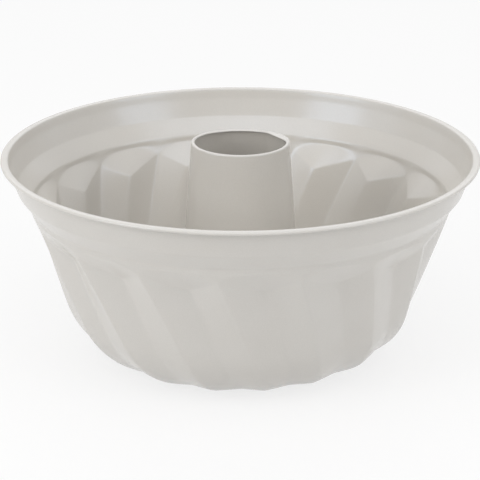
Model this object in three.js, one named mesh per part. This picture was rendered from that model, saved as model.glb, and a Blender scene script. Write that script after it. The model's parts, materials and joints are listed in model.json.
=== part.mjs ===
// Fluted tube pan: a pressed sheet-steel ring cake pan with spiral flutes and a rolled centre tube.
// Millimetres, +Z up. The origin is on the pan's axis, in the plane that the base stands on.
import * as THREE from "three";

// Sheet and overall size
const SHEET = 0.6; // thickness of the coated steel sheet, body and tube alike
const RIM_RADIUS = 125; // outside of the rolled rim
const PAN_HEIGHT = 111.6; // table to the top of the rolled rim

// Rolled rim with its wire
const BEAD_RADIUS = 1.35; // outside radius of the roll's section
const CURL_SWEEP = 285; // degrees that the sheet turns round the wire
const WIRE_CLEARANCE = 0.12; // wire to the inside of the roll

// Plain band under the rim, measured in from the outside of the rim and down from its top
const CREASE_INSET = 7.3; // soft crease round the band
const CREASE_DROP = 15.7;
const BREAK_INSET = 12.9; // break line, where the fluted wall starts
const BREAK_DROP = 25.7;

// Fluted wall and base
const WALL_LEAN = 19.5; // degrees from the vertical
const CORNER_RADIUS = 41.5; // round from the wall into the base

// Spiral flutes: grooves of V section pressed inwards, each with a hipped end under the break line
const FLUTE_COUNT = 17;
const FLUTE_DEPTH = 6; // crest to groove, square to the wall, at the hip's apex
const FOOT_DEPTH = 2.8; // the same where the wall meets the round of the base
const FLUTE_TWIST = 21.2; // degrees from the break line down to the base
const FLUTE_START = 8.5; // degrees from +X to a crest, at the break line
const GROOVE_SHARE = 0.52; // where the groove's bottom lies between one crest and the next
const HIP_DROP = 2.7; // break line to the top of the hip's arched upper edge
const HIP_HEIGHT = 15.7; // from there down the groove to the hip's apex
const HIP_ARCH = 4; // how far the upper edge falls towards the crests
const ARCH_POWER = 2.5; // higher keeps the arch flat over more of its width
const HIP_MARGIN = 2; // upper to lower edge of the hip, at the crests

// Centre tube
const TUBE_HEIGHT = 117.6; // table to the top of the tube's lip
const TUBE_TOP_RADIUS = 26.6; // outside of the cone, just below the lip
const TUBE_FOOT_RADIUS = 34; // outside of the cone at the seam
const LIP_RADIUS = 1.25; // outside radius of the lip's inward roll
const LIP_SWEEP = 205; // degrees that the lip turns
const LAP_WIDTH = 8; // overlap of the tube's rolled sheet, along the inside
const LAP_ANGLE = -8; // degrees from +X to the lap's edge

// Folded seam between body and tube: two hooked edges, one inside the other
const SEAM_GAP = 0.3; // between the folded sheets, and under the seam
const SEAM_HOOK = 2; // straight length of each hooked edge
const LAND_MARGIN = 1; // seam to the edge of the raised flat over it
const STEP_WIDTH = 3; // slope from that flat down to the ring that the pan stands on

// How finely the round forms are cut
const COLUMNS_PER_FLUTE = 6;
const TUBE_COLUMNS = 36;
const BEAD_STEPS = 6;
const WIRE_SIDES = 6;
const CORNER_STEPS = 6;
const WALL_STEPS = 3;
const HOOK_STEPS = 3;
const BEND_STEPS = 2;

const coatedSteel = new THREE.MeshStandardMaterial({
  name: "non-stick coated steel",
  color: "#cbc6bf",
  roughness: 0.45,
  metalness: 0.15,
});
const drawnWire = new THREE.MeshStandardMaterial({
  name: "drawn steel wire",
  color: "#9a9b9c",
  roughness: 0.35,
  metalness: 1,
});

const radians = THREE.MathUtils.degToRad;
const FLUTE_COLUMNS = FLUTE_COUNT * COLUMNS_PER_FLUTE;
const FOLD_RADIUS = SHEET / 2 + SEAM_GAP; // inside of a hooked edge

// Points of an arc in the plane of radius and height, between two angles in degrees.
function arc(centre, radius, from, to, steps) {
  const points = [];
  for (let i = 0; i <= steps; i++) {
    const angle = radians(from + ((to - from) * i) / steps);
    points.push(new THREE.Vector2(
      centre.x + radius * Math.cos(angle),
      centre.y + radius * Math.sin(angle),
    ));
  }
  return points;
}

// Unit vectors to the left of a path at each of its points, lengthened at bends to keep an even offset.
function leftNormals(path) {
  const sides = path.slice(1).map((point, i) => {
    const along = point.clone().sub(path[i]).normalize();
    return new THREE.Vector2(-along.y, along.x);
  });
  return path.map((_, i) => {
    const before = sides[Math.max(i - 1, 0)];
    const after = sides[Math.min(i, sides.length - 1)];
    const middle = before.clone().add(after).normalize();
    return middle.divideScalar(middle.dot(after));
  });
}

// A closed section of sheet: the path is one face, and the other face lies to its left.
function sheetSection(path) {
  const normals = leftNormals(path);
  const otherFace = path.map((point, i) => point.clone().addScaledVector(normals[i], SHEET));
  return [...path, ...otherFace.reverse()];
}

// Spins a closed section about the pan's axis. place gives each point its angle, radius and height.
function spin(section, columns, place) {
  const rows = section.length;
  const spun = new THREE.LatheGeometry([...section, section[0]], columns).rotateX(Math.PI / 2);
  const position = spun.getAttribute("position");
  for (let i = 0; i < position.count; i++) {
    const row = (i % (rows + 1)) % rows;
    const column = Math.floor(i / (rows + 1)) % columns;
    const { angle, radius, height } = place(row, column);
    position.setXYZ(i, radius * Math.cos(angle), radius * Math.sin(angle), height);
  }
  spun.deleteAttribute("uv");
  spun.computeVertexNormals();
  return spun;
}

// Share of the way from one crest to the next, for each column of a flute.
function fluteShare(column) {
  const share = (column % COLUMNS_PER_FLUTE) / COLUMNS_PER_FLUTE;
  const half = Math.min(share, 0.5) * 2 * GROOVE_SHARE;
  return half + Math.max(share - 0.5, 0) * 2 * (1 - GROOVE_SHARE);
}

// Share of the way down the flank of a flute, from 0 on the crest to 1 in the groove.
function flankShare(column) {
  const share = fluteShare(column);
  return Math.min(share / GROOVE_SHARE, (1 - share) / (1 - GROOVE_SHARE));
}

// Angle of a column at the rim and down to the break line, where the flutes have not yet turned.
function fluteAngle(column) {
  const flute = Math.floor(column / COLUMNS_PER_FLUTE);
  return radians(FLUTE_START + ((flute + fluteShare(column)) * 360) / FLUTE_COUNT);
}

const beadCentre = new THREE.Vector2(RIM_RADIUS - BEAD_RADIUS, PAN_HEIGHT - BEAD_RADIUS);

// Seam, from the table up: tube, body's hook, tube's hook, raised flat of the body.
const seamBase = SEAM_GAP;
const landHeight = seamBase + 3 * (SHEET + SEAM_GAP);
const holeRadius = TUBE_FOOT_RADIUS + SEAM_GAP;
const bodyFold = new THREE.Vector2(holeRadius + SHEET + FOLD_RADIUS, landHeight - FOLD_RADIUS);
const tubeFold = new THREE.Vector2(bodyFold.x + SEAM_HOOK + SEAM_GAP, seamBase + SHEET + FOLD_RADIUS);
const seamRadius = tubeFold.x + FOLD_RADIUS + SHEET;

// Lengths down the wall from the break line to the hip's upper and lower edge.
function hipEdges(flank) {
  const upper = HIP_DROP + HIP_ARCH * (1 - flank) ** ARCH_POWER;
  const lower = THREE.MathUtils.lerp(HIP_DROP + HIP_ARCH + HIP_MARGIN, HIP_DROP + HIP_HEIGHT, flank);
  return { upper, lower };
}

// The body's outer face before the flutes are pressed, from its hooked edge to the end of the rolled rim.
// Its rows on the wall follow the hip's edges, so they depend on how far down the flank the section is.
function bodyPath(flank) {
  const creasePoint = new THREE.Vector2(RIM_RADIUS - CREASE_INSET, PAN_HEIGHT - CREASE_DROP);
  const breakPoint = new THREE.Vector2(RIM_RADIUS - BREAK_INSET, PAN_HEIGHT - BREAK_DROP);
  const lean = radians(WALL_LEAN);

  // The corner arc touches both the base plane and the leaning wall.
  const wallAtArc = breakPoint.x + Math.tan(lean) * (CORNER_RADIUS - breakPoint.y);
  const corner = new THREE.Vector2(wallAtArc - CORNER_RADIUS / Math.cos(lean), CORNER_RADIUS);
  const round = arc(corner, CORNER_RADIUS, -90, -WALL_LEAN, CORNER_STEPS);
  const wallFoot = round[round.length - 1];
  const wallLength = wallFoot.distanceTo(breakPoint);

  const { upper, lower } = hipEdges(flank);
  const below = Array.from({ length: WALL_STEPS }, (_, i) =>
    THREE.MathUtils.lerp(wallLength, lower, (i + 1) / WALL_STEPS),
  );
  const wall = [...below, upper].map((length) => breakPoint.clone().lerp(wallFoot, length / wallLength));

  // The roll starts where the band runs into it, on the side towards the axis.
  const curlRadius = BEAD_RADIUS - SHEET;
  const toBead = beadCentre.clone().sub(creasePoint);
  const bandAngle = toBead.angle() + Math.asin(curlRadius / toBead.length());
  const curlStart = THREE.MathUtils.radToDeg(bandAngle) + 90;
  const curl = arc(beadCentre, curlRadius, curlStart, curlStart - CURL_SWEEP, BEAD_STEPS);

  const hookEnd = new THREE.Vector2(bodyFold.x + SEAM_HOOK, bodyFold.y - FOLD_RADIUS);
  const hook = arc(bodyFold, FOLD_RADIUS, 270, 90, HOOK_STEPS);
  const landEnd = new THREE.Vector2(seamRadius + LAND_MARGIN, landHeight);
  const baseInner = new THREE.Vector2(landEnd.x + STEP_WIDTH, 0);
  const path = [hookEnd, ...hook, landEnd, baseInner, ...round, ...wall, breakPoint, creasePoint, ...curl];
  return { path, wallLength, firstFluted: hook.length + 3, breakRow: path.length - curl.length - 2 };
}

// How deep a flute is pressed, at a length down from the break line: nothing on the crest and above the hip.
function fluteDepth(flank, length, wallLength, lengthToBase) {
  const { upper, lower } = hipEdges(flank);
  const hip = THREE.MathUtils.clamp((length - upper) / (lower - upper), 0, 1);
  const apex = HIP_DROP + HIP_HEIGHT;
  const downWall = THREE.MathUtils.clamp((length - apex) / (wallLength - apex), 0, 1);
  const runOut = Math.min((lengthToBase - length) / (lengthToBase - wallLength), 1);
  return THREE.MathUtils.lerp(FLUTE_DEPTH, FOOT_DEPTH, downWall) * runOut * flank * hip;
}

// One column of the body: both faces of the sheet after pressing, and how far the flutes have turned there.
function bodyColumn(flank) {
  const { path, wallLength, firstFluted, breakRow } = bodyPath(flank);
  const section = sheetSection(path);
  const normals = leftNormals(path).map((normal) => normal.normalize());

  // Length down the wall from the break line, for each point of the path below it.
  const lengths = path.map(() => 0);
  for (let i = breakRow - 1; i >= 0; i--) {
    lengths[i] = lengths[i + 1] + (i >= firstFluted ? path[i].distanceTo(path[i + 1]) : 0);
  }
  const lengthToBase = lengths[firstFluted];

  return section.map((point, row) => {
    const station = Math.min(row, section.length - 1 - row);
    const depth = fluteDepth(flank, lengths[station], wallLength, lengthToBase);
    const pressed = point.clone().addScaledVector(normals[station], depth);
    return { point: pressed, turn: radians((FLUTE_TWIST * lengths[station]) / lengthToBase) };
  });
}

function flutedBody() {
  const columns = Array.from({ length: COLUMNS_PER_FLUTE }, (_, column) => bodyColumn(flankShare(column)));
  const crestSection = columns[0].map(({ point }) => point);
  return spin(crestSection, FLUTE_COLUMNS, (row, column) => {
    const { point, turn } = columns[column % COLUMNS_PER_FLUTE][row];
    return { angle: fluteAngle(column) + turn, radius: point.x, height: point.y };
  });
}

// The wire lies in the roll and shares the body's columns, so both are round in the same way.
function rimWire() {
  const radius = BEAD_RADIUS - SHEET - WIRE_CLEARANCE;
  const section = arc(beadCentre, radius, 0, 360, WIRE_SIDES).slice(0, WIRE_SIDES);
  return spin(section, FLUTE_COLUMNS, (row, column) => ({
    angle: fluteAngle(column),
    radius: section[row].x,
    height: section[row].y,
  }));
}

// The tube's outer face, from its hooked edge under the base up the cone to the end of the lip.
function tubePath() {
  const hookEnd = new THREE.Vector2(tubeFold.x - SEAM_HOOK, tubeFold.y + FOLD_RADIUS);
  const hook = arc(tubeFold, FOLD_RADIUS, 90, -90, HOOK_STEPS);

  const foot = new THREE.Vector2(TUBE_FOOT_RADIUS + SHEET, tubeFold.y - FOLD_RADIUS + SHEET);
  const bend = arc(foot, SHEET, 270, 180, BEND_STEPS);
  const lip = new THREE.Vector2(TUBE_TOP_RADIUS - LIP_RADIUS, TUBE_HEIGHT - LIP_RADIUS);
  const roll = arc(lip, LIP_RADIUS, 0, LIP_SWEEP, BEAD_STEPS);
  return [hookEnd, ...hook, ...bend, ...roll];
}

// The tube is rolled from flat sheet, so its inner face is one sheet thicker along the lap.
function centreTube() {
  const path = tubePath();
  const section = sheetSection(path);
  const rollRows = BEAD_STEPS + 1;
  const firstConeRow = path.length - rollRows - 1;
  const lapAngle = LAP_WIDTH / TUBE_TOP_RADIUS;
  const edgeAngle = SHEET / TUBE_TOP_RADIUS;
  const plainColumns = TUBE_COLUMNS - 3;
  const plainAngle = 2 * Math.PI - lapAngle - 2 * edgeAngle;
  const columnAngle = (column) => {
    if (column < 3) return [0, edgeAngle, edgeAngle + lapAngle][column];
    return lapAngle + 2 * edgeAngle + ((column - 3) * plainAngle) / plainColumns;
  };

  return spin(section, TUBE_COLUMNS, (row, column) => {
    const station = Math.min(row, section.length - 1 - row);
    const onInnerFace = row !== station;
    const onCone = station === firstConeRow || station === firstConeRow + 1;
    const doubled = onInnerFace && onCone && (column === 1 || column === 2);
    return {
      angle: radians(LAP_ANGLE) + columnAngle(column),
      radius: section[row].x - (doubled ? SHEET : 0),
      height: section[row].y,
    };
  });
}

function piece(name, geometry, material) {
  const mesh = new THREE.Mesh(geometry, material);
  mesh.name = name;
  return mesh;
}

const pan = new THREE.Group();
pan.add(piece("fluted_body", flutedBody(), coatedSteel));
pan.add(piece("centre_tube", centreTube(), coatedSteel));
pan.add(piece("rim_wire", rimWire(), drawnWire));

export default pan;
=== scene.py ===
# Fluted tube pan: pressed and coated sheet steel, with spiral flutes, a rolled rim
# and a centre tube that is seamed in from below.
import json
import math

import bpy
import numpy as np
from mathutils import Euler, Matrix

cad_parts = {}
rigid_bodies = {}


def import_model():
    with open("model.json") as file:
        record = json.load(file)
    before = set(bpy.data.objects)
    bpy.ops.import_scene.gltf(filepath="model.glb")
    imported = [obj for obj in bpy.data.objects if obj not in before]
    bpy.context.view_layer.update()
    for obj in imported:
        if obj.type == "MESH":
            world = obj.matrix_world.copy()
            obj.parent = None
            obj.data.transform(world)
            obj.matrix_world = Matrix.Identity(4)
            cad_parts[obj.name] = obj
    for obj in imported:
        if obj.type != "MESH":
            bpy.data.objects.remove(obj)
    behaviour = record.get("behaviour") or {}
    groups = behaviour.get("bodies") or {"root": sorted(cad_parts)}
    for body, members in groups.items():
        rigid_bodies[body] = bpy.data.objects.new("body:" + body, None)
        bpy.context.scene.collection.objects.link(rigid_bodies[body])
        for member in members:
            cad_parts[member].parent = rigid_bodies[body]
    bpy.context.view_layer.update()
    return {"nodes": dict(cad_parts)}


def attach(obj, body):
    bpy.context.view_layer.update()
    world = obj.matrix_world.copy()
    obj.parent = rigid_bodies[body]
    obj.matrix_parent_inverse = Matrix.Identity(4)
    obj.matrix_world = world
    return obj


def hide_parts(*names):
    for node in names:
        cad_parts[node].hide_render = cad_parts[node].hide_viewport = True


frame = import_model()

mm = 0.001  # sizes below are in millimetres unless they say otherwise, the scene is in metres
print("frame loaded:", ", ".join(sorted(frame["nodes"])))


# Small helpers

def linearColour(hexCode):
    channels = [int(hexCode[i:i + 2], 16) / 255 for i in (1, 3, 5)]
    return [c / 12.92 if c <= 0.04045 else ((c + 0.055) / 1.055) ** 2.4 for c in channels] + [1.0]


def addNode(owner, kind, settings=None, **inputs):
    # owner is a material or the world, settings are the node's own options,
    # inputs are values or the sockets that feed it, by socket name or by number as in0, in1 and so on
    tree = owner.node_tree
    node = tree.nodes.new(kind)
    for key, value in (settings or {}).items():
        setattr(node, key, value)
    for key, value in inputs.items():
        place = int(key[2:]) if key.startswith("in") and key[2:].isdigit() else key.replace("_", " ")
        if isinstance(value, bpy.types.NodeSocket):
            tree.links.new(value, node.inputs[place])
        else:
            node.inputs[place].default_value = value
    return node


def newMaterial(name):
    material = bpy.data.materials.new(name)
    material.use_nodes = True
    material.node_tree.nodes.clear()
    return material


def softMin(a, b, blend):
    return (a + b - np.sqrt((a - b) ** 2 + blend ** 2)) / 2


def softMax(a, b, blend):
    return (a + b + np.sqrt((a - b) ** 2 + blend ** 2)) / 2


def arcPoints(centre, radius, fromAngle, toAngle, steps):
    angles = np.radians(np.linspace(fromAngle, toAngle, steps + 1))
    return np.stack([centre[0] + radius * np.cos(angles), centre[1] + radius * np.sin(angles)], 1)


def bentLine(corners, arcStep):
    # straight runs between corners (radius, height, bend radius), each corner rounded to its bend radius
    points = [np.array(corners[0][:2], float)]
    for before, corner, after in zip(corners, corners[1:], corners[2:]):
        here, bendRadius = np.array(corner[:2], float), corner[2]
        back = np.array(before[:2], float) - here
        ahead = np.array(after[:2], float) - here
        back /= np.linalg.norm(back)
        ahead /= np.linalg.norm(ahead)
        half = math.acos(np.clip(back @ ahead, -1, 1)) / 2
        middle = here + (back + ahead) / np.linalg.norm(back + ahead) * bendRadius / math.sin(half)
        start = here + back * (bendRadius / math.tan(half)) - middle
        sweep = math.pi - 2 * half
        side = math.copysign(1, back[1] * ahead[0] - back[0] * ahead[1])
        for turn in np.linspace(0, sweep * side, max(3, math.ceil(bendRadius * sweep / arcStep))):
            c, s = math.cos(turn), math.sin(turn)
            points.append(middle + np.array([c * start[0] - s * start[1], s * start[0] + c * start[1]]))
    return np.array(points + [np.array(corners[-1][:2], float)])


def evenSteps(path, longest):
    # splits every run that is longer than the step
    points = [path[0]]
    for a, b in zip(path, path[1:]):
        count = max(1, math.ceil(np.linalg.norm(b - a) / longest))
        points.extend(a + (b - a) * i / count for i in range(1, count + 1))
    return np.array(points)


def leftNormals(path):
    along = np.gradient(path, axis=0)
    along /= np.linalg.norm(along, axis=1)[:, None]
    return np.stack([-along[:, 1], along[:, 0]], 1)


def newPiece(name, vertices, faces, sharpAngle):
    # edges that bend by more than this angle stay crisp
    mesh = bpy.data.meshes.new(name)
    mesh.from_pydata((vertices.reshape(-1, 3) * mm).tolist(), [], faces)
    mesh.shade_smooth()
    mesh.set_sharp_from_angle(angle=math.radians(sharpAngle))
    piece = bpy.data.objects.new(name, mesh)
    bpy.context.scene.collection.objects.link(piece)
    return piece


def roundGrid(section, columns):
    # a closed section repeated round the axis: radius and height of each point, degrees of each column
    radius, height = (section[:, i:i + 1] * np.ones((1, columns)) for i in (0, 1))
    return radius, height, np.arange(columns) * 360 / columns


def spunSheet(name, radius, height, degrees, sharpAngle=50):
    # grids with rows round the closed section and columns round the pan, degrees may be one row for all
    rows, columns = radius.shape
    angle = np.radians(degrees)
    vertices = np.stack([radius * np.cos(angle), radius * np.sin(angle), height], 2)
    row, column = np.meshgrid(np.arange(rows), np.arange(columns), indexing="ij")
    nextRow, nextColumn = (row + 1) % rows, (column + 1) % columns
    corners = [(row, column), (row, nextColumn), (nextRow, nextColumn), (nextRow, column)]
    faces = np.stack([r * columns + c for r, c in corners], 2).reshape(-1, 4)
    return newPiece(name, vertices, faces.tolist(), sharpAngle)


# Non-stick coated steel: a sol-gel coat, sprayed on and baked. Satin, with soft cool highlights, a faint
# orange peel that blurs every reflection, and a very slight mottle of colour and sheen where the spray
# passes overlap.

coat = {
    "colour": "#d3cfc8",
    "mottleColour": "#cfcac2",
    "mottleSize": 28,  # spray passes
    "mottleDetail": 2.0,
    "grainSize": 0.5,  # pigment grain
    "grainDetail": 1.0,
    "grainStrength": 0.05,
    "peelSize": 1.6,  # orange peel, drawn twice as coarse as it is so that it shows
    "peelDetail": 1.5,
    "peelHeight": 0.012,
    "roughness": (0.2, 0.26),
    "ior": 1.65,  # about 1.5 for a plain coat, more with pearl pigment
    "sheenTint": "#d4e6ff",  # that pigment makes the highlights cool
}


def coatedSteel():
    material = newMaterial("non-stick coated steel, sprayed and baked")
    place = addNode(material, "ShaderNodeTexCoord").outputs["Object"]
    mottle, grain, peel = (
        addNode(
            material, "ShaderNodeTexNoise",
            Vector=place, Scale=1 / (coat[pattern + "Size"] * mm), Detail=coat[pattern + "Detail"],
        ).outputs["Fac"]
        for pattern in ("mottle", "grain", "peel")
    )
    sprayed = addNode(
        material, "ShaderNodeMix", {"data_type": "RGBA"},
        Factor=mottle, in6=linearColour(coat["colour"]), in7=linearColour(coat["mottleColour"]),
    ).outputs[2]
    shade = addNode(
        material, "ShaderNodeMapRange",
        Value=grain, To_Min=1 - coat["grainStrength"], To_Max=1 + coat["grainStrength"],
    ).outputs[0]
    colour = addNode(
        material, "ShaderNodeMix", {"data_type": "RGBA", "blend_type": "MULTIPLY"},
        in0=1.0, in6=sprayed, in7=shade,
    ).outputs[2]
    roughness = addNode(
        material, "ShaderNodeMapRange",
        Value=mottle, To_Min=coat["roughness"][0], To_Max=coat["roughness"][1],
    ).outputs[0]
    bump = addNode(
        material, "ShaderNodeBump", Height=peel, Strength=1.0, Distance=coat["peelHeight"] * mm,
    ).outputs[0]
    shader = addNode(
        material, "ShaderNodeBsdfPrincipled",
        Base_Color=colour, Roughness=roughness, Normal=bump, IOR=coat["ior"],
        Specular_Tint=linearColour(coat["sheenTint"]),
    )
    addNode(material, "ShaderNodeOutputMaterial", Surface=shader.outputs[0])
    return material


# Drawn steel wire: pulled through a die, which leaves fine marks and a slightly uneven sheen.

wireSteel = {
    "colour": "#9a9b9c",
    "markColour": "#86878a",
    "markSize": 0.4,
    "markDetail": 3.0,
    "roughness": (0.28, 0.42),
}


def drawnSteel():
    material = newMaterial("steel wire, drawn")
    place = addNode(material, "ShaderNodeTexCoord").outputs["Object"]
    marks = addNode(
        material, "ShaderNodeTexNoise",
        Vector=place, Scale=1 / (wireSteel["markSize"] * mm), Detail=wireSteel["markDetail"],
    ).outputs["Fac"]
    colour = addNode(
        material, "ShaderNodeMix", {"data_type": "RGBA"},
        Factor=marks, in6=linearColour(wireSteel["colour"]), in7=linearColour(wireSteel["markColour"]),
    ).outputs[2]
    roughness = addNode(
        material, "ShaderNodeMapRange",
        Value=marks, To_Min=wireSteel["roughness"][0], To_Max=wireSteel["roughness"][1],
    ).outputs[0]
    shader = addNode(
        material, "ShaderNodeBsdfPrincipled", Base_Color=colour, Roughness=roughness, Metallic=1.0,
    )
    addNode(material, "ShaderNodeOutputMaterial", Surface=shader.outputs[0])
    return material


coatMaterial = coatedSteel()
wireMaterial = drawnSteel()
print("materials ready")


# Fluted body

sheet = 0.6  # thickness of body and tube

seam = {  # under the base, where the body's hooked edge and the tube's hooked foot lock together
    "foldRadius": 0.6,
    "foldSteps": 8,
    "bodyFold": (35.5, 2.4),  # radius and height of the fold's centre
    "tubeFold": (37.8, 1.5),
    "hook": 2.0,  # flat length past the fold
}

body = {
    "beadCentre": (122.98, 109.08),
    "beadHalf": (2.02, 1.04),  # half width and half height of the flattened roll
    "curlStart": 178,  # degrees, where the band runs into the roll
    "curlSweep": 285,
    "curlSteps": 26,
    "neck": (120.55, 104.6, 15),  # radius, height, bend radius: the band is steeper from here up
    "crease": (117.0, 94.8, 4),
    "breakLine": (110.3, 85.74, 1.6),
    "ledgeFoot": (110.2, 83.0, 1.6),  # a short steep face under the break line
    "wallLean": 17.54,  # degrees from upright
    "cornerRadius": 43.75,
    "land": (40.0, 3.0, 1.2),
    "baseInner": (43.0, 0.0, 1.2),
    "step": 2.6,  # longest step of the mesh
    "flat": 1e-6,  # a height below this counts as on the base
}

flute = {
    "count": 17,
    "columns": 20,  # of the mesh, from crest to crest
    "columnEase": 0.7,  # draws them towards the crest and the groove
    "start": 8.5,  # degrees from +X to a crest at the break line
    "twist": 21.2,  # degrees from there to the base
    "depth": 6.25,  # crest to groove, at the hip's apex
    "footDepth": 3.4,  # at the foot of the wall
    "depthRound": 0.05,  # of the change between the two, as a share of the wall below the apex
    "grooveShare": 0.52,  # where the groove lies from crest to crest
    "hipDrop": 2.7,  # break line to the top of the hip's arched edge
    "hipHeight": 15.6,  # from there to the apex
    "hipArch": 4.0,  # how far the arched edge falls towards the crests
    "archPower": 2.5,
    "hipMargin": 2.0,  # height of the hip at the crests
    "crestRound": 0.03,  # as a share of half a flute
    "grooveRound": (0.05, 0.30),  # the same, at the hip and at the base
    "edgeRound": 0.7,  # of the hip's edges, along the wall
    "edgeRows": (1.6, 0.9, 0.45, 0.15),  # distances from these edges to the mesh's rows beside them
    "edgeRoom": 4.2,  # where the hip is lower than this, the rows inside it move closer
    "fillRows": (0.2, 0.4, 0.6, 0.8),  # rows in the gaps, as shares of them
    "foldEnd": 29.8,  # below this the rows are level
    "levelGap": 0.5,  # least distance from there to the next level row
    "footEase": 0.55,  # below 1, the grooves keep their depth further round the corner
    "footRound": 0.08,
    "endFade": 8,  # the groove's end fades over one part in eight of the corner
}


def bodyPath():
    # outer face of the sheet, from the hooked edge under the base up to the end of the rolled rim
    curlEnd = body["curlStart"] - body["curlSweep"]
    curl = arcPoints((0, 0), 1, body["curlStart"], curlEnd, body["curlSteps"])
    curl = np.array(body["beadCentre"]) + curl * (np.array(body["beadHalf"]) - sheet)

    fold = seam["bodyFold"]
    hook = arcPoints(fold, seam["foldRadius"], 270, 90, seam["foldSteps"])
    hookEnd = np.array([[fold[0] + seam["hook"], fold[1] - seam["foldRadius"]]])

    lean = math.tan(math.radians(body["wallLean"]))
    wallFoot = (body["breakLine"][0] - lean * body["breakLine"][1], 0.0, body["cornerRadius"])
    corners = [(*hook[-1], 0), body["land"], body["baseInner"], wallFoot]
    corners += [body["ledgeFoot"], body["breakLine"], body["crease"], body["neck"]]
    wall = bentLine(corners + [(*curl[0], 0)], body["step"])
    return evenSteps(np.concatenate([hookEnd, hook, wall[1:-1], curl]), body["step"])


def lengthBelowBreak(path):
    # length down the wall from the break line, and that to the wall's foot and to the flat base
    steps = np.linalg.norm(np.diff(path, axis=0), axis=1)
    along = np.concatenate([[0], np.cumsum(steps)])
    breakRow = np.argmin(np.linalg.norm(path - np.array(body["breakLine"][:2]), axis=1))
    onBase = np.flatnonzero((path[:, 1] < body["flat"]) & (path[:, 0] > body["baseInner"][0]))
    lengthToBase = along[breakRow] - along[onBase[-1]]
    wallLength = lengthToBase - body["cornerRadius"] * math.radians(90 - body["wallLean"])
    return along[breakRow] - along, wallLength, lengthToBase


def fluteColumns():
    # shares from crest to crest, closer together at the crest and at the groove
    even = np.arange(flute["columns"]) / flute["columns"]
    half = even * 2 % 1
    eased = half - flute["columnEase"] * np.sin(2 * math.pi * half) / (2 * math.pi)
    share = flute["grooveShare"]
    return np.where(even < 0.5, eased * share, share + eased * (1 - share))


def flankShare(share, rounding):
    # 0 at the crest, 1 in the groove, both rounded
    groove = flute["grooveShare"]
    flank = softMin(share / groove, (1 - share) / (1 - groove), rounding * 2)
    return np.sqrt(np.maximum(flank, 0) ** 2 + flute["crestRound"] ** 2) - flute["crestRound"]


def hipEdges(share):
    # lengths below the break line to the hip's arched upper edge and to its V-shaped lower edge
    flank = flankShare(share, flute["grooveRound"][0])
    upper = flute["hipDrop"] + flute["hipArch"] * np.clip(1 - flank, 0, 1) ** flute["archPower"]
    corner = flute["hipDrop"] + flute["hipArch"] + flute["hipMargin"]
    apex = flute["hipDrop"] + flute["hipHeight"]
    return upper, corner + (apex - corner) * flank


def hipRows(shares):
    # rows of the mesh from the level part of the wall up to the break line, along both edges of the hip
    upper, lower = hipEdges(shares)
    near, fill = flute["edgeRows"], flute["fillRows"]
    inside = [np.minimum(offset, (lower - upper) * offset / flute["edgeRoom"]) for offset in near]
    lowerRows = [lower + offset for offset in near] + [lower - offset for offset in inside[::-1]]
    upperRows = [upper + offset for offset in inside] + [upper - offset for offset in near[::-1]]
    foldEnd = np.full_like(upper, flute["foldEnd"])
    wallRows = [foldEnd + (lowerRows[0] - foldEnd) * t for t in fill]
    roofRows = [lowerRows[-1] + (upperRows[0] - lowerRows[-1]) * t for t in fill]
    return np.array([foldEnd, *wallRows, *lowerRows, *roofRows, *upperRows, upperRows[-1] / 2])


def fluteDepth(share, length, wallLength, lengthToBase):
    # V groove between two crests, with a hipped end under the break line
    length = np.clip(length, 0, lengthToBase)
    low, high = flute["grooveRound"]
    flank = flankShare(share, low + (high - low) * length / lengthToBase)
    upper, lower = hipEdges(share)
    soft = flute["edgeRound"] / (lower - upper)
    hip = softMax(softMin((length - upper) / (lower - upper), 1, soft), 0, soft)
    apex = flute["hipDrop"] + flute["hipHeight"]
    downWall = softMin((length - apex) / (wallLength - apex), 1, flute["depthRound"])
    downWall = softMax(downWall, 0, flute["depthRound"])
    groove = flute["depth"] + (flute["footDepth"] - flute["depth"]) * downWall
    runOut = np.clip((lengthToBase - length) / (lengthToBase - wallLength), 0, None)
    endFade = np.clip(runOut * flute["endFade"], 0, 1)
    runOut = softMin(runOut ** flute["footEase"], 1, flute["footRound"]) * endFade
    fromBreak = np.clip(length / flute["hipDrop"], 0, 1)
    return groove * np.clip(runOut, 0, 1) * flank * hip * fromBreak


def makeBody():
    path = bodyPath()
    normals = leftNormals(path)
    below, wallLength, lengthToBase = lengthBelowBreak(path)
    shares = np.tile(fluteColumns(), flute["count"])
    index = np.repeat(np.arange(flute["count"]), flute["columns"])
    level = np.ones((1, len(shares)))
    wallRows = below[below > flute["foldEnd"] + flute["levelGap"]]
    bandRows = below[below <= 0]
    length = np.concatenate([wallRows[:, None] * level, hipRows(shares), bandRows[:, None] * level])
    pathRadius, pathHeight = (np.interp(-length, -below, path[:, i]) for i in (0, 1))
    acrossRadius, acrossHeight = (np.interp(-length, -below, normals[:, i]) for i in (0, 1))
    depth = fluteDepth(shares[None, :], length, wallLength, lengthToBase)
    turn = flute["twist"] * np.clip(length, 0, lengthToBase) / lengthToBase
    degrees = flute["start"] + (index + shares)[None, :] * 360 / flute["count"] + turn
    outerRadius = pathRadius + acrossRadius * depth
    outerHeight = pathHeight + acrossHeight * depth
    innerRadius = outerRadius + acrossRadius * sheet
    innerHeight = outerHeight + acrossHeight * sheet
    radius = np.concatenate([outerRadius, innerRadius[::-1]])
    height = np.concatenate([outerHeight, innerHeight[::-1]])
    piece = spunSheet("pan_body", radius, height, np.concatenate([degrees, degrees[::-1]]))
    piece.data.materials.append(coatMaterial)
    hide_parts("fluted_body")
    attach(piece, "root")
    return piece


bodyPiece = makeBody()
print("body:", len(bodyPiece.data.polygons), "faces")


# Centre tube, and the end of its rolled sheet that laps over inside it

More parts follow.
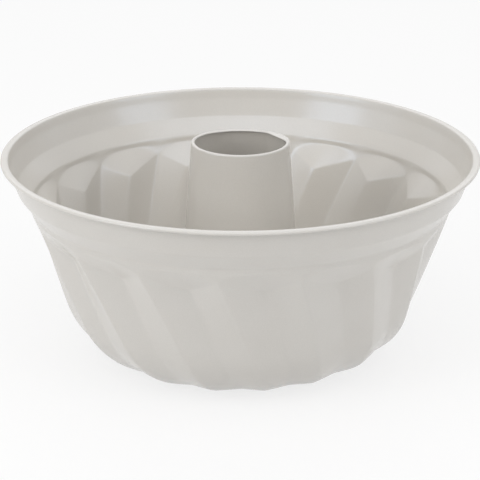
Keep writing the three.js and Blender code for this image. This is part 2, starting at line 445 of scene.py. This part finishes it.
tube = {
    "topRadius": 25.8,  # of the outer face, at the mouth
    "footRadius": 34.0,  # the same, at the foot
    "footSteps": 5,
    "height": 115.8,
    "lipRadius": 1.0,
    "lipSweep": 165,
    "lipSteps": 14,
    "lipMargin": 0.5,  # the lip counts from this far below its centre
    "columns": 180,
    "step": 4,  # longest step of the mesh
    "mouthFrom": 90,  # from this height up the mouth's uneven shape grows
    "backDrop": 1.4,  # the mouth is a little lower at the back
    "backPower": 1.5,
    "lipPull": 2.2,  # the lip is wider over the lap, inwards
    "lipBulge": 1.0,  # and outwards
}

lap = {
    "from": -6,  # degrees from +X, the free edge
    "to": 62,
    "low": 8.0,
    "belowMouth": 2.4,
    "stand": 1.5,  # gap behind the free edge at the mouth
    "standPower": 1.5,
    "gap": 0.05,  # behind the free edge at its low end
    "sink": 0.3,  # the far edge runs into the tube's wall
    "taper": 0.85,  # and loses this share of its thickness
    "columns": 19,
    "rows": 16,
    "sharpAngle": 40,
}


def coneRadius(height):
    # outer face of the tube
    top, foot = tube["height"] - tube["lipRadius"], seam["tubeFold"][1]
    return tube["topRadius"] + (tube["footRadius"] - tube["topRadius"]) * (top - height) / (top - foot)


def overLap(degrees):
    # 0 to 1 and back to 0 across the lap
    fromEdge = (degrees - lap["from"] + 180) % 360 - 180
    share = np.clip(fromEdge / (lap["to"] - lap["from"]), 0, 1)
    return np.sin(math.pi * share) ** 2


def makeTube():
    fold = seam["tubeFold"]
    hookEnd = np.array([[fold[0] - seam["hook"], fold[1] + seam["foldRadius"]]])
    hook = arcPoints(fold, seam["foldRadius"], 90, -90, seam["foldSteps"])
    bend = arcPoints((tube["footRadius"] + sheet, fold[1]), sheet, 270, 180, tube["footSteps"])
    lipCentre = (tube["topRadius"] - tube["lipRadius"], tube["height"] - tube["lipRadius"])
    lip = arcPoints(lipCentre, tube["lipRadius"], 0, tube["lipSweep"], tube["lipSteps"])
    path = evenSteps(np.concatenate([hookEnd, hook, bend, lip]), tube["step"])
    section = np.concatenate([path, (path + leftNormals(path) * sheet)[::-1]])
    radius, height, degrees = roundGrid(section, tube["columns"])

    # towards the mouth the sheet springs out over the lap, and the lip there reaches further in
    nearMouth = np.clip((height - tube["mouthFrom"]) / (tube["height"] - tube["mouthFrom"]), 0, 1) ** 2
    onLip = height > lipCentre[1] - tube["lipMargin"]
    across = np.clip((tube["topRadius"] - radius) / (2 * tube["lipRadius"]), 0, 1) * onLip
    spring = tube["lipBulge"] * (1 - across) - tube["lipPull"] * across
    towardsBack = np.clip(np.sin(np.radians(degrees)), 0, None)
    radius = radius + overLap(degrees)[None, :] * nearMouth * spring
    height = height - tube["backDrop"] * towardsBack[None, :] ** tube["backPower"] * nearMouth

    piece = spunSheet("pan_tube", radius, height, degrees)
    piece.data.materials.append(coatMaterial)
    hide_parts("centre_tube")
    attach(piece, "root")
    return piece


def makeLap():
    # lies inside the tube and stands off a little at the mouth
    share = np.linspace(0, 1, lap["columns"])[None, :]
    top = tube["height"] - lap["belowMouth"]
    levels = np.linspace(lap["low"], top, lap["rows"])[:, None]
    rise = (levels - lap["low"]) / (top - lap["low"])
    stand = lap["stand"] * rise ** lap["standPower"] * (1 - share) ** lap["standPower"]
    back = coneRadius(levels) - sheet - (stand - lap["sink"] * share + lap["gap"])
    front = back - sheet * (1 - lap["taper"] * share ** 2)
    turn = np.radians(lap["from"] + (lap["to"] - lap["from"]) * share)
    radius = np.concatenate([front, back[:, ::-1]], 1)
    turn = np.concatenate([turn, turn[:, ::-1]], 1)
    height = levels * np.ones_like(radius)
    vertices = np.stack([radius * np.cos(turn), radius * np.sin(turn), height], 2)

    rows, columns = radius.shape
    faces = []
    for row in range(rows - 1):
        for column in range(columns):
            here = row * columns + column
            beside = row * columns + (column + 1) % columns
            faces.append((here, beside, beside + columns, here + columns))
    for start, turned in ((0, True), ((rows - 1) * columns, False)):
        end = start + columns - 1
        for column in range(columns // 2 - 1):
            cap = [start + column, start + column + 1, end - column - 1, end - column]
            faces.append(cap[::-1] if turned else cap)

    piece = newPiece("tube_lap", vertices, faces, lap["sharpAngle"])
    piece.data.materials.append(coatMaterial)
    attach(piece, "root")
    return piece


tubePiece = makeTube()
lapPiece = makeLap()
print("tube:", len(tubePiece.data.polygons), "faces, lap:", len(lapPiece.data.polygons))


# Rim wire, thin enough for the flattened roll

wire = {"radius": 0.38, "sides": 12, "columns": 180}


def makeWire():
    lastAngle = 360 - 360 / wire["sides"]
    section = arcPoints(body["beadCentre"], wire["radius"], 0, lastAngle, wire["sides"] - 1)
    piece = spunSheet("pan_rim_wire", *roundGrid(section, wire["columns"]))
    piece.data.materials.append(wireMaterial)
    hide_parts("rim_wire")
    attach(piece, "root")
    return piece


wirePiece = makeWire()
print("wire:", len(wirePiece.data.polygons), "faces")


# Studio: a pale floor, soft boxes low and high on each side of the camera,
# weak ones in front and at the left, and a large one behind

studio = {
    "white": "#ffffff",
    "ambient": 0.41,
    "floorColour": "#f4f4f4",
    "floorSize": 8,  # metres
    "floorDrop": 0.3,  # clear of the base, so that no two faces lie in one plane
    "floorWhite": 0.78,  # share of plain white in what is seen of the floor, the rest keeps the shadow
    "aimHeight": 0.06,  # metres, where the boxes point
    "boxes": {  # degrees round from the camera, degrees up, metres away, metres wide, watts
        "soft_box_left": (-54, 25, 1.6, 0.8, 6.0),
        "soft_box_right": (56, 25, 1.6, 0.8, 4.1),
        "soft_box_front": (0, 46, 1.6, 1.0, 1.2),
        "top_box_left": (-38, 62, 1.6, 1.1, 4.8),
        "top_box_right": (40, 62, 1.6, 1.1, 3.9),
        "soft_box_back": (180, 52, 1.6, 1.8, 8.0),
        "side_box_left": (-78, 12, 1.6, 0.8, 1.2),
    },
}


def seenRays(owner):
    # 1 for the rays that show the background: straight, mirrored or through glass
    rays = addNode(owner, "ShaderNodeLightPath").outputs
    seen = rays["Is Camera Ray"]
    for other in ("Is Glossy Ray", "Is Transmission Ray"):
        seen = addNode(
            owner, "ShaderNodeMath", {"operation": "MAXIMUM"}, in0=seen, in1=rays[other],
        ).outputs[0]
    return seen


def makeFloor():
    material = newMaterial("studio paper, matt")
    part = addNode(
        material, "ShaderNodeMath", {"operation": "MULTIPLY"},
        in0=seenRays(material), in1=studio["floorWhite"],
    ).outputs[0]
    paper = addNode(material, "ShaderNodeBsdfDiffuse", Color=linearColour(studio["floorColour"]))
    white = addNode(material, "ShaderNodeEmission", Color=linearColour(studio["white"]), Strength=1.0)
    mixed = addNode(material, "ShaderNodeMixShader", in0=part, in1=paper.outputs[0], in2=white.outputs[0])
    addNode(material, "ShaderNodeOutputMaterial", Surface=mixed.outputs[0])
    half, drop = studio["floorSize"] / 2, studio["floorDrop"] * mm
    corners = [(-half, -half, -drop), (half, -half, -drop), (half, half, -drop), (-half, half, -drop)]
    mesh = bpy.data.meshes.new("floor")
    mesh.from_pydata(corners, [], [(0, 1, 2, 3)])
    floor = bpy.data.objects.new("floor", mesh)
    floor.data.materials.append(material)
    bpy.context.scene.collection.objects.link(floor)


def makeWorld():
    world = bpy.data.worlds.new("studio")
    world.use_nodes = True
    world.node_tree.nodes.clear()
    strength = addNode(
        world, "ShaderNodeMapRange", Value=seenRays(world), To_Min=studio["ambient"], To_Max=1.0,
    ).outputs[0]
    sky = addNode(world, "ShaderNodeBackground", Color=linearColour(studio["white"]), Strength=strength)
    addNode(world, "ShaderNodeOutputWorld", Surface=sky.outputs[0])
    bpy.context.scene.world = world


def makeBoxes():
    for name, (azimuth, rise, distance, size, power) in studio["boxes"].items():
        lamp = bpy.data.lights.new(name, "AREA")
        lamp.shape = "SQUARE"
        lamp.size = size
        lamp.energy = power
        holder = bpy.data.objects.new(name, lamp)
        turn, lift = math.radians(azimuth), math.radians(rise)
        flat = distance * math.cos(lift)
        height = distance * math.sin(lift) + studio["aimHeight"]
        holder.location = (flat * math.sin(turn), -flat * math.cos(turn), height)
        holder.rotation_euler = Euler((math.pi / 2 - lift, 0, turn))
        bpy.context.scene.collection.objects.link(holder)


# Camera: long lens, a little above the rim

view = {"place": (0, -952.7, 411.7), "pitch": 20.238, "lens": 142.9, "sensor": 36, "shift": -0.0008}


def makeCamera():
    camera = bpy.data.cameras.new("camera")
    camera.lens = view["lens"]
    camera.sensor_width = view["sensor"]
    camera.shift_x = view["shift"]
    holder = bpy.data.objects.new("camera", camera)
    holder.location = [value * mm for value in view["place"]]
    holder.rotation_euler = Euler((math.radians(90 - view["pitch"]), 0, 0))
    bpy.context.scene.collection.objects.link(holder)
    bpy.context.scene.camera = holder


makeFloor()
makeWorld()
makeBoxes()
makeCamera()
bpy.context.scene.view_settings.view_transform = "Standard"
print("studio ready")
